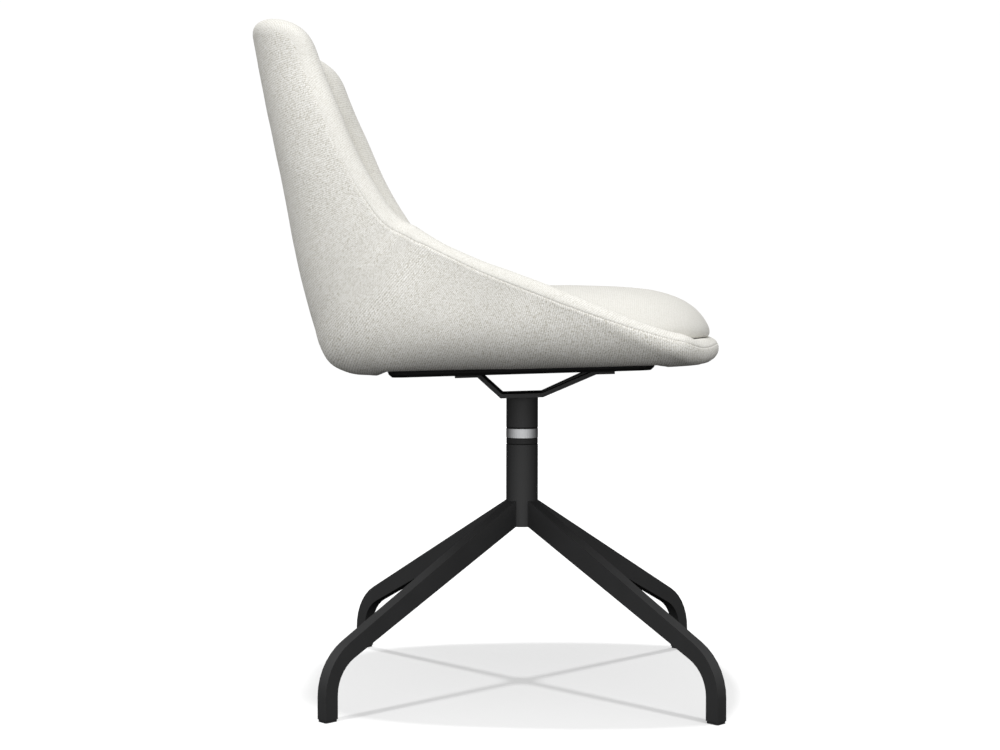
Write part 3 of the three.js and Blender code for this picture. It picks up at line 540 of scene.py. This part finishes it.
def swell(obj, pressure=4.0, voxel=0.005, cap=0.005, frames=20):
    """Inflates a closed fabric form by cloth simulation and keeps the result."""
    scene = bpy.context.scene
    remesh = obj.modifiers.new("voxels", "REMESH")
    remesh.mode = "VOXEL"
    remesh.voxel_size = voxel
    deps = bpy.context.evaluated_depsgraph_get()
    mesh = bpy.data.meshes.new_from_object(obj.evaluated_get(deps))
    obj.modifiers.clear()
    work = bpy.data.objects.new("swell_work", mesh)
    scene.collection.objects.link(work)
    start = np.empty(len(mesh.vertices) * 3)
    mesh.vertices.foreach_get("co", start)
    start = start.reshape(-1, 3)
    pins = work.vertex_groups.new(name="pins")
    low, high = 0.404, 0.416
    for i, z in enumerate(start[:, 2]):
        pins.add([i], float(np.clip((high - z) / (high - low), 0, 1)), "REPLACE")
    cloth = work.modifiers.new("cloth", "CLOTH")
    cfg = cloth.settings
    cfg.quality = 6
    cfg.mass = 0.3
    cfg.tension_stiffness = cfg.compression_stiffness = 15.0
    cfg.shear_stiffness = 6.0
    cfg.bending_stiffness = 0.6
    cfg.use_pressure = True
    cfg.uniform_pressure_force = pressure
    cfg.vertex_group_mass = "pins"
    cfg.effector_weights.gravity = 0.0
    cloth.collision_settings.use_collision = False
    cloth.collision_settings.use_self_collision = False
    cloth.point_cache.frame_start, cloth.point_cache.frame_end = 1, frames
    for frame_no in range(1, frames + 1):
        scene.frame_set(frame_no)
    deps = bpy.context.evaluated_depsgraph_get()
    done = work.evaluated_get(deps).data
    end = np.empty(len(start) * 3)
    done.vertices.foreach_get("co", end)
    end = end.reshape(-1, 3)
    move = end - start
    length = np.linalg.norm(move, axis=1, keepdims=True)
    move *= np.minimum(1.0, cap / np.maximum(length, 1e-9))
    work.modifiers.clear()
    scene.frame_set(1)
    mesh.vertices.foreach_set("co", (start + move).ravel())
    mesh.update()
    obj.data = mesh
    bpy.data.objects.remove(work)
    return length


pad = build_pad(PAD_START)
moved = swell(pad, cap=PAD_CAP * MM)
print("pad swelled by mm: median %.2f, 90%% %.2f, most %.2f" % tuple(np.percentile(moved, (50, 90, 100)) * 1000))
smooth = bmesh.new()
smooth.from_mesh(pad.data)
for _ in range(3):
    bmesh.ops.smooth_vert(smooth, verts=smooth.verts, factor=0.5, use_axis_x=True, use_axis_y=True, use_axis_z=True)
smooth.to_mesh(pad.data)
smooth.free()
# the cut of the cover holds the swollen form close to its pattern
cut = build_pad()
cut_tree = BVHTree.FromPolygons([v.co[:] for v in cut.data.vertices], [tuple(f.vertices) for f in cut.data.polygons])
for v in pad.data.vertices:
    hold = 0.85 * float(np.clip((v.co.z - 0.411) / 0.008, 0, 1))
    v.co += (cut_tree.find_nearest(v.co)[0] - v.co) * hold
pad.data.update()
bpy.data.objects.remove(cut)
TREE = tray_tree()
keep_clear(pad, TREE)


def pad_cloth_uv(obj):
    mesh = obj.data
    mesh.update()
    nv = len(mesh.vertices)
    co = np.empty(nv * 3)
    mesh.vertices.foreach_get("co", co)
    co = co.reshape(-1, 3)
    x, y, z = co[:, 0], co[:, 1], co[:, 2]
    mid_y = (-PAD["mid"] + AXIS_Y) * MM
    drop = np.maximum(0, PAD["crown"] * MM - z)
    # the sides run on down from the top, shared out by the place round the pad
    px = (np.abs(x) / (PAD["half"] * MM)) ** 4
    py = (np.abs(y - mid_y) / (214 * MM)) ** 4
    v = x + np.sign(x) * drop * px / (px + py + 1e-3)
    u = (y - mid_y) + np.sign(y - mid_y) * drop * py / (px + py + 1e-3)
    layer = mesh.uv_layers.new(name="cloth")
    loops = np.empty(len(mesh.loops), int)
    mesh.loops.foreach_get("vertex_index", loops)
    layer.data.foreach_set("uv", np.stack([-u, v], 1)[loops].astype(np.float32).ravel())
    seam = mesh.uv_layers.new(name="seam")
    seam.data.foreach_set("uv", np.tile([0.0, 0.5], len(loops)).astype(np.float32))


pad_cloth_uv(pad)
for poly in pad.data.polygons:
    poly.use_smooth = True
sub = pad.modifiers.new("rounding", "SUBSURF")
sub.levels = sub.render_levels = 1


# ------------------------------------------------------------------ materials
FABRIC_TONES = ((0.50, 0.475, 0.400), (0.80, 0.787, 0.738), (0.93, 0.922, 0.890))


def new_material(name):
    mat = bpy.data.materials.new(name)
    mat.use_nodes = True
    nt = mat.node_tree
    nt.nodes.clear()
    out = nt.nodes.new("ShaderNodeOutputMaterial")
    bsdf = nt.nodes.new("ShaderNodeBsdfPrincipled")
    nt.links.new(bsdf.outputs[0], out.inputs[0])
    return mat, nt, bsdf


def math_node(nt, op, a, b=None, c=None, clamp=False):
    n = nt.nodes.new("ShaderNodeMath")
    n.operation = op
    n.use_clamp = clamp
    for i, v in enumerate((a, b, c)):
        if v is None:
            continue
        if isinstance(v, (int, float)):
            n.inputs[i].default_value = v
        else:
            nt.links.new(v, n.inputs[i])
    return n.outputs[0]


def map_range(nt, value, lo, hi, to_lo=0.0, to_hi=1.0, smooth=False):
    n = nt.nodes.new("ShaderNodeMapRange")
    n.interpolation_type = "SMOOTHSTEP" if smooth else "LINEAR"
    nt.links.new(value, n.inputs[0])
    n.inputs[1].default_value, n.inputs[2].default_value = lo, hi
    n.inputs[3].default_value, n.inputs[4].default_value = to_lo, to_hi
    return n.outputs[0]


def mix_colour(nt, fac, a, b):
    n = nt.nodes.new("ShaderNodeMix")
    n.data_type = "RGBA"
    if isinstance(fac, (int, float)):
        n.inputs[0].default_value = fac
    else:
        nt.links.new(fac, n.inputs[0])
    for i, v in ((6, a), (7, b)):
        if isinstance(v, tuple):
            n.inputs[i].default_value = (*v, 1.0)
        else:
            nt.links.new(v, n.inputs[i])
    return n.outputs[2]


def combine(nt, x, y, z=0.0):
    n = nt.nodes.new("ShaderNodeCombineXYZ")
    for i, v in enumerate((x, y, z)):
        if isinstance(v, (int, float)):
            n.inputs[i].default_value = v
        else:
            nt.links.new(v, n.inputs[i])
    return n.outputs[0]


def noise(nt, vector, scale, detail=2.0, roughness=0.5):
    n = nt.nodes.new("ShaderNodeTexNoise")
    n.inputs["Scale"].default_value = scale
    n.inputs["Detail"].default_value = detail
    n.inputs["Roughness"].default_value = roughness
    nt.links.new(vector, n.inputs["Vector"])
    return n.outputs[0]


def fabric_material(name="melange_weave", contrast=1.0, level=1.0):
    """Off-white melange: a plain weave whose yarns change tone along their
    length, so that it shows as dense short streaks across the panel."""
    mat, nt, bsdf = new_material(name)
    uv = nt.nodes.new("ShaderNodeUVMap")
    uv.uv_map = "cloth"
    sep = nt.nodes.new("ShaderNodeSeparateXYZ")
    nt.links.new(uv.outputs[0], sep.inputs[0])
    u, v = sep.outputs[0], sep.outputs[1]
    weft_pitch, warp_pitch = 0.001275, 0.00115
    # slight wander so that the yarns aren't ruler straight
    wander = math_node(nt, "MULTIPLY", math_node(nt, "SUBTRACT", noise(nt, uv.outputs[0], 60.0, 2.0), 0.5), 0.0022)
    wander_v = math_node(nt, "MULTIPLY", math_node(nt, "SUBTRACT", noise(nt, uv.outputs[0], 85.0, 2.0), 0.5), 0.0014)
    a = math_node(nt, "DIVIDE", math_node(nt, "ADD", u, wander), weft_pitch)       # across the weft yarns
    b = math_node(nt, "DIVIDE", math_node(nt, "ADD", v, wander_v), warp_pitch)     # across the warp yarns
    ia, ib = math_node(nt, "FLOOR", a), math_node(nt, "FLOOR", b)
    # plain weave: which yarn is on top
    over = math_node(nt, "PINGPONG", math_node(nt, "ADD", ia, ib), 1.0)
    ra = math_node(nt, "ABSOLUTE", math_node(nt, "SINE", math_node(nt, "MULTIPLY", a, math.pi)))
    rb = math_node(nt, "ABSOLUTE", math_node(nt, "SINE", math_node(nt, "MULTIPLY", b, math.pi)))
    weft_h = math_node(nt, "MULTIPLY", ra, map_range(nt, over, 0, 1, 0.70, 1.0))
    warp_h = math_node(nt, "MULTIPLY", rb, map_range(nt, over, 0, 1, 0.90, 0.45))
    height = math_node(nt, "MAXIMUM", weft_h, warp_h)
    # melange: each yarn changes colour along its length
    weft_tone = noise(nt, combine(nt, math_node(nt, "MULTIPLY", ia, 1.731), math_node(nt, "MULTIPLY", v, 520.0), 3.1), 1.0, 1.0, 0.5)
    warp_tone = noise(nt, combine(nt, math_node(nt, "MULTIPLY", ib, 1.877), math_node(nt, "MULTIPLY", u, 900.0), 7.7), 1.0, 1.0, 0.5)
    top_is_weft = math_node(nt, "GREATER_THAN", weft_h, warp_h)
    tone = nt.nodes.new("ShaderNodeMix")
    nt.links.new(top_is_weft, tone.inputs[0])
    nt.links.new(warp_tone, tone.inputs[2])
    nt.links.new(weft_tone, tone.inputs[3])
    # broad cloudy change between lengths of yarn
    cloud = noise(nt, combine(nt, math_node(nt, "MULTIPLY", u, 260.0), math_node(nt, "MULTIPLY", v, 70.0), 1.3), 1.0, 2.0, 0.6)
    # contrast and level below 1 make the flatter, darker copies of the cloth that carry painted light and painted
    # shade
    value = math_node(nt, "ADD", math_node(nt, "MULTIPLY", math_node(nt, "SUBTRACT", tone.outputs[0], 0.5), 1.4 * contrast),
                      math_node(nt, "MULTIPLY_ADD", math_node(nt, "SUBTRACT", cloud, 0.5), 0.16 * contrast, 0.5))
    dark, plain, light = (tuple(c * level for c in tone) for tone in FABRIC_TONES)
    low = mix_colour(nt, map_range(nt, value, 0.22, 0.50), dark, plain)
    colour = mix_colour(nt, map_range(nt, value, 0.50, 0.74), low, light)
    # thread shade between yarns
    shade = map_range(nt, height, 0.15, 0.7, 0.86, 1.0)
    # the weft lies in pairs, which shows as fine even ribs: painted shade across each pair, darker and lighter in
    # turn
    rib = 0.15 * min(1.0, 1.2 * contrast)
    shade = math_node(nt, "MULTIPLY", shade, map_range(nt, math_node(nt, "PINGPONG", a, 1.0), 0.0, 1.0, 1.0 - rib, 1.0 + rib))
    shaded = nt.nodes.new("ShaderNodeMix")
    shaded.data_type = "RGBA"
    shaded.blend_type = "MULTIPLY"
    shaded.inputs[0].default_value = 1.0
    nt.links.new(colour, shaded.inputs[6])
    grey = combine(nt, shade, shade, shade)
    nt.links.new(grey, shaded.inputs[7])
    colour = shaded.outputs[2]
    # the seam line: needle holes along it
    sm = nt.nodes.new("ShaderNodeUVMap")
    sm.uv_map = "seam"
    ssep = nt.nodes.new("ShaderNodeSeparateXYZ")
    nt.links.new(sm.outputs[0], ssep.inputs[0])
    dist = math_node(nt, "ABSOLUTE", ssep.outputs[1])
    near = map_range(nt, dist, 0.0003, 0.0010, 1.0, 0.0, True)
    dots = math_node(nt, "SINE", math_node(nt, "MULTIPLY", ssep.outputs[0], 2 * math.pi / 0.0046))
    dots = map_range(nt, dots, -0.2, 0.8, 0.25, 1.0)
    mark = math_node(nt, "MULTIPLY", near, dots)
    colour = mix_colour(nt, math_node(nt, "MULTIPLY", mark, 0.32), colour, (0.34, 0.31, 0.26))
    nt.links.new(colour, bsdf.inputs["Base Color"])
    # bump from the yarns and the needle holes
    fuzz = noise(nt, uv.outputs[0], 2600.0, 2.0, 0.7)
    h = math_node(nt, "ADD", math_node(nt, "MULTIPLY", height, 0.8), math_node(nt, "MULTIPLY", fuzz, 0.35))
    h = math_node(nt, "SUBTRACT", h, math_node(nt, "MULTIPLY", mark, 0.8))
    bump = nt.nodes.new("ShaderNodeBump")
    bump.inputs["Strength"].default_value = 0.5
    bump.inputs["Distance"].default_value = 0.00035
    nt.links.new(h, bump.inputs["Height"])
    nt.links.new(bump.outputs[0], bsdf.inputs["Normal"])
    bsdf.inputs["Roughness"].default_value = 0.95
    bsdf.inputs["Specular IOR Level"].default_value = 0.2
    bsdf.inputs["Sheen Weight"].default_value = 0.10
    bsdf.inputs["Sheen Roughness"].default_value = 0.5
    bsdf.inputs["Sheen Tint"].default_value = (0.98, 0.97, 0.94, 1)
    return mat


def coat_material(name, base, rough=0.42, grain=9000.0, bump_depth=0.00006, spec=0.5):
    """Powder coat: fine orange peel, slightly uneven gloss."""
    mat, nt, bsdf = new_material(name)
    tc = nt.nodes.new("ShaderNodeTexCoord")
    fine = noise(nt, tc.outputs["Object"], grain * 0.25, 2.0, 0.6)
    broad = noise(nt, tc.outputs["Object"], 22.0, 2.0, 0.5)
    tint = map_range(nt, broad, 0.3, 0.7, 0.0, 1.0)
    nt.links.new(mix_colour(nt, tint, tuple(c * 0.88 for c in base), tuple(c * 1.12 for c in base)), bsdf.inputs["Base Color"])
    nt.links.new(map_range(nt, fine, 0.3, 0.7, rough - 0.05, rough + 0.06), bsdf.inputs["Roughness"])
    bump = nt.nodes.new("ShaderNodeBump")
    bump.inputs["Strength"].default_value = 0.25
    bump.inputs["Distance"].default_value = bump_depth
    nt.links.new(fine, bump.inputs["Height"])
    nt.links.new(bump.outputs[0], bsdf.inputs["Normal"])
    bsdf.inputs["Specular IOR Level"].default_value = spec
    return mat


def metal_material(name, base, rough, line_axis="Z", lines=5200.0, depth=0.00003):
    mat, nt, bsdf = new_material(name)
    tc = nt.nodes.new("ShaderNodeTexCoord")
    sep = nt.nodes.new("ShaderNodeSeparateXYZ")
    nt.links.new(tc.outputs["Object"], sep.inputs[0])
    axis = sep.outputs["XYZ".index(line_axis)]
    brushed = noise(nt, combine(nt, math_node(nt, "MULTIPLY", axis, lines), math_node(nt, "MULTIPLY", sep.outputs[0], 12.0), 0.4), 1.0, 3.0, 0.6)
    nt.links.new(mix_colour(nt, brushed, tuple(c * 0.90 for c in base), tuple(min(1, c * 1.06) for c in base)), bsdf.inputs["Base Color"])
    nt.links.new(map_range(nt, brushed, 0.3, 0.7, rough - 0.05, rough + 0.07), bsdf.inputs["Roughness"])
    bump = nt.nodes.new("ShaderNodeBump")
    bump.inputs["Strength"].default_value = 0.3
    bump.inputs["Distance"].default_value = depth
    nt.links.new(brushed, bump.inputs["Height"])
    nt.links.new(bump.outputs[0], bsdf.inputs["Normal"])
    bsdf.inputs["Metallic"].default_value = 1.0
    return mat


def wood_material(name, a, b, rough=0.55):
    mat, nt, bsdf = new_material(name)
    tc = nt.nodes.new("ShaderNodeTexCoord")
    sep = nt.nodes.new("ShaderNodeSeparateXYZ")
    nt.links.new(tc.outputs["Object"], sep.inputs[0])
    grain = noise(nt, combine(nt, math_node(nt, "MULTIPLY", sep.outputs[0], 260.0), math_node(nt, "MULTIPLY", sep.outputs[1], 14.0),
                              math_node(nt, "MULTIPLY", sep.outputs[2], 260.0)), 1.0, 4.0, 0.65)
    nt.links.new(mix_colour(nt, map_range(nt, grain, 0.3, 0.7), a, b), bsdf.inputs["Base Color"])
    nt.links.new(map_range(nt, grain, 0.2, 0.8, rough - 0.08, rough + 0.1), bsdf.inputs["Roughness"])
    bump = nt.nodes.new("ShaderNodeBump")
    bump.inputs["Strength"].default_value = 0.25
    bump.inputs["Distance"].default_value = 0.0001
    nt.links.new(grain, bump.inputs["Height"])
    nt.links.new(bump.outputs[0], bsdf.inputs["Normal"])
    return mat


FABRIC = fabric_material("melange_weave", 0.88)
# painted light: a copy of the same cloth with flattened contrast and a slightly darker tone, standing in for the
# bright light on the inside and rim
FABRIC_INSIDE_PAINTED_LIGHT = fabric_material("melange_weave_inside_painted_light", 0.48, 0.975)
# painted shade: a darker, flatter copy of the same cloth on the pad, standing in for less of the strong top light
FABRIC_PAD_PAINTED_SHADE = fabric_material("melange_weave_pad_painted_shade", 0.25, 0.88)
BLACK = coat_material("black_powder_coat", (0.0155, 0.0157, 0.0162), 0.46)
PLASTIC = coat_material("black_moulded_plastic", (0.012, 0.012, 0.0125), 0.55, 6000.0, 0.00004, 0.4)
RING = metal_material("satin_ring", (0.62, 0.63, 0.64), 0.34, "Z", 4200.0)
STEEL = metal_material("zinc_steel", (0.45, 0.46, 0.47), 0.36, "Z", 2500.0)
NYLON = coat_material("natural_nylon", (0.70, 0.68, 0.62), 0.5, 5000.0, 0.00004, 0.4)
BOARD = wood_material("black_board", (0.0035, 0.0035, 0.0036), (0.007, 0.007, 0.0072), 0.75)
CORE = wood_material("moulded_ply", (0.40, 0.25, 0.12), (0.56, 0.38, 0.20))
FINISH = {}
for node in ("column_tube", "upper_sleeve", "swivel_bracket", "leg_front_left", "leg_front_right", "leg_rear_left", "leg_rear_right"):
    FINISH[node] = BLACK
for node in ("column_end_cap", "flange_bush", "thrust_washer", "glide_front_left", "glide_front_right", "glide_rear_left", "glide_rear_right"):
    FINISH[node] = PLASTIC
FINISH["trim_ring"] = RING
FINISH["lower_bush"] = NYLON
for node in NODES:
    if node.startswith(("bracket_bolt", "tee_nut", "spindle", "retaining")):
        FINISH[node] = STEEL
FINISH["seat_board"] = BOARD
FINISH["shell_core"] = CORE


def dress(obj, mat):
    mesh = obj.data
    if len(mesh.materials):
        for i in range(len(mesh.materials)):
            mesh.materials[i] = mat
    else:
        mesh.materials.append(mat)


def soften(obj, width, segments=2, angle=30.0):
    """Welds the imported corners and rounds the edges, in modifiers."""
    weld = obj.modifiers.new("weld", "WELD")
    weld.merge_threshold = 1e-6
    bevel = obj.modifiers.new("edges", "BEVEL")
    bevel.width = width
    bevel.segments = segments
    bevel.limit_method = "ANGLE"
    bevel.angle_limit = math.radians(angle)
    bevel.harden_normals = True
    bevel.use_clamp_overlap = True


def clear_normals(obj):
    mesh = obj.data
    if "custom_normal" in mesh.attributes:
        mesh.attributes.remove(mesh.attributes["custom_normal"])
    for poly in mesh.polygons:
        poly.use_smooth = True


EDGE = {"column_tube": 0.0, "upper_sleeve": 0.0, "swivel_bracket": 0.0009, "seat_board": 0.0,
        "leg_front_left": 0.0011, "leg_front_right": 0.0011, "leg_rear_left": 0.0011, "leg_rear_right": 0.0011}
for node, mat in FINISH.items():
    obj = NODES[node]
    dress(obj, mat)
    if EDGE.get(node):
        clear_normals(obj)
        soften(obj, EDGE[node])

dress(bucket, FABRIC)
# the inside faces take the copy of the cloth that carries painted light
bucket.data.materials.append(FABRIC_INSIDE_PAINTED_LIGHT)
bucket.data.polygons.foreach_set("material_index", bucket["inside"])
del bucket["inside"]
# the pad takes the darker copy of the cloth that carries painted shade
dress(pad, FABRIC_PAD_PAINTED_SHADE)
for piece in (bucket, pad):
    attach(piece, "seat")
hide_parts("outer_cover", "inner_cover", "edge_roll")
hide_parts("seat_cushion")

# ------------------------------------------------------------------ stage
def make_stage():
    mesh = bpy.data.meshes.new("floor")
    r = 9.0
    mesh.from_pydata([(-r, -r, -0.0002), (r, -r, -0.0002), (r, r, -0.0002), (-r, r, -0.0002)], [], [(0, 1, 2, 3)])
    floor = bpy.data.objects.new("floor", mesh)
    bpy.context.scene.collection.objects.link(floor)
    mat = bpy.data.materials.new("floor_sweep")
    mat.use_nodes = True
    nt = mat.node_tree
    nt.nodes.clear()
    out = nt.nodes.new("ShaderNodeOutputMaterial")
    both = nt.nodes.new("ShaderNodeAddShader")
    glow = nt.nodes.new("ShaderNodeEmission")
    glow.inputs[1].default_value = FLOOR_GLOW
    matt = nt.nodes.new("ShaderNodeBsdfDiffuse")
    tc = nt.nodes.new("ShaderNodeTexCoord")
    soft = noise(nt, tc.outputs["Object"], 1.5, 1.0)
    nt.links.new(mix_colour(nt, soft, (0.25, 0.25, 0.25), (0.255, 0.255, 0.255)), matt.inputs[0])
    nt.links.new(glow.outputs[0], both.inputs[0])
    nt.links.new(matt.outputs[0], both.inputs[1])
    nt.links.new(both.outputs[0], out.inputs[0])
    dress(floor, mat)
    floor.visible_diffuse = False
    floor.visible_glossy = False
    return floor


FLOOR_GLOW = 0.43
floor = make_stage()


# soft light from all round, as broad lobes: direction and strength
LOBES = (
    ((0, 0, 1), 0.220),
    ((0.5, 0.5, 0.7071), 0.050),
    ((0, 0.7071, 0.7071), 0.355),
    ((-0.5, 0.5, 0.7071), 0.825),
    ((-0.7071, 0, 0.7071), 1.035),
    ((-0.5, -0.5, 0.7071), 0.795),
    ((0, -0.7071, 0.7071), 0.290),
    ((0.5, -0.5, 0.7071), 0.050),
    ((0, 1, 0), 0.045),
    ((-0.7071, 0.7071, 0), 0.260),
    ((-1, 0, 0), 0.380),
    ((-0.7071, -0.7071, 0), 0.240),
)


def make_world():
    world = bpy.data.worlds.new("studio")
    bpy.context.scene.world = world
    world.use_nodes = True
    nt = world.node_tree
    nt.nodes.clear()
    out = nt.nodes.new("ShaderNodeOutputWorld")
    bg = nt.nodes.new("ShaderNodeBackground")
    nt.links.new(bg.outputs[0], out.inputs[0])
    tc = nt.nodes.new("ShaderNodeTexCoord")
    level = None
    for direction, strength in LOBES:
        dot = nt.nodes.new("ShaderNodeVectorMath")
        dot.operation = "DOT_PRODUCT"
        nt.links.new(tc.outputs["Generated"], dot.inputs[0])
        dot.inputs[1].default_value = direction
        lobe = math_node(nt, "POWER", math_node(nt, "MAXIMUM", dot.outputs["Value"], 0.0), 3.0)
        level = math_node(nt, "MULTIPLY", lobe, strength) if level is None else math_node(nt, "MULTIPLY_ADD", lobe, strength, level)
    up = nt.nodes.new("ShaderNodeSeparateXYZ")
    nt.links.new(tc.outputs["Generated"], up.inputs[0])
    level = math_node(nt, "MULTIPLY", level, map_range(nt, up.outputs[2], -0.7, 0.05, 0.55, 1.0))
    lp = nt.nodes.new("ShaderNodeLightPath")
    show = nt.nodes.new("ShaderNodeMix")
    nt.links.new(lp.outputs["Is Camera Ray"], show.inputs[0])
    nt.links.new(level, show.inputs[2])
    show.inputs[3].default_value = 1.02
    nt.links.new(show.outputs[0], bg.inputs[1])
    bg.inputs[0].default_value = (1.0, 1.0, 1.0, 1.0)


make_world()


def floor_sun(name, towards, strength, angle, blockers):
    """A sun that lights the floor alone and draws the shadow of some pieces."""
    data = bpy.data.lights.new(name, "SUN")
    data.energy = strength
    data.angle = math.radians(angle)
    obj = bpy.data.objects.new(name, data)
    bpy.context.scene.collection.objects.link(obj)
    obj.location = (0, 0, 2)
    obj.rotation_euler = Vector(towards).to_track_quat("-Z", "Y").to_euler()
    lit = bpy.data.collections.new(name + "_lit")
    lit.objects.link(floor)
    shade = bpy.data.collections.new(name + "_shade")
    for piece in blockers:
        shade.objects.link(piece)
    obj.light_linking.receiver_collection = lit
    obj.light_linking.blocker_collection = shade
    return obj


BASE_PIECES = [obj for obj in NODES.values() if obj.parent == frame["bodies"]["base"]]
floor_sun("seat_shadow", (0.0, -0.07, -1.0), 3.5, 3.0, [bucket, pad])
floor_sun("leg_shadow", (0.0, 0.0, -1.0), 2.5, 5.0, BASE_PIECES)

scene = bpy.context.scene
scene.view_settings.view_transform = "Standard"
scene.view_settings.look = "None"
scene.view_settings.exposure = 0.0
scene.view_settings.gamma = 1.0

bpy.context.view_layer.update()
